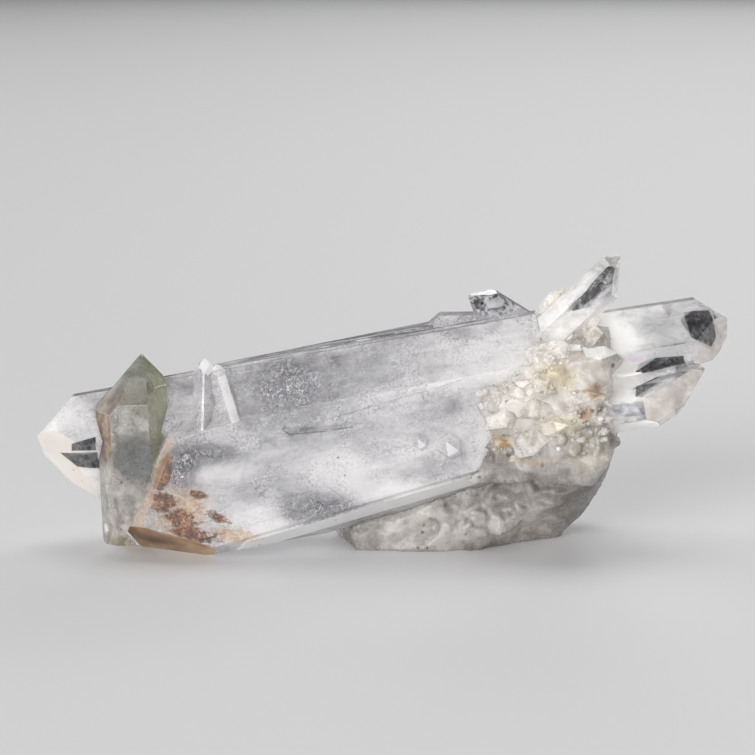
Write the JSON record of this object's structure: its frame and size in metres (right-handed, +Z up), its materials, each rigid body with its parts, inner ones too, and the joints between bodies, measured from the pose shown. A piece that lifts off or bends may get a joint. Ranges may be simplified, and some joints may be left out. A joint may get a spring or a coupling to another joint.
{
  "type": "quartz crystal cluster",
  "caption": "Natural quartz cluster lying on its side: two thick parallel crystals, clear points at both ends, a small greenish crystal, and a lump of milky matrix.",
  "frame": {"origin": "on the supporting plane, under the middle of the cluster's length and depth", "axes": "+Z up as it rests; +X along the cluster, towards the two clear points; -Y towards the side with the broad milky face"},
  "size_m": [0.1302, 0.0328, 0.0561],
  "materials": {
    "milky_quartz": "clear to milky natural quartz with smooth crystal faces",
    "greenish_quartz": "smoky quartz with green mineral inclusions and smooth faces",
    "clear_quartz": "clear natural quartz with smooth crystal faces",
    "massive_quartz": "broken milky quartz, rough, with a crust of small points"
  },
  "bodies": {
    "root": {"main_crystals": "milky_quartz", "green_crystal": "greenish_quartz", "right_crystals": "clear_quartz", "slanting_crystal": "clear_quartz", "matrix": "massive_quartz"}
  },
  "joints": []
}
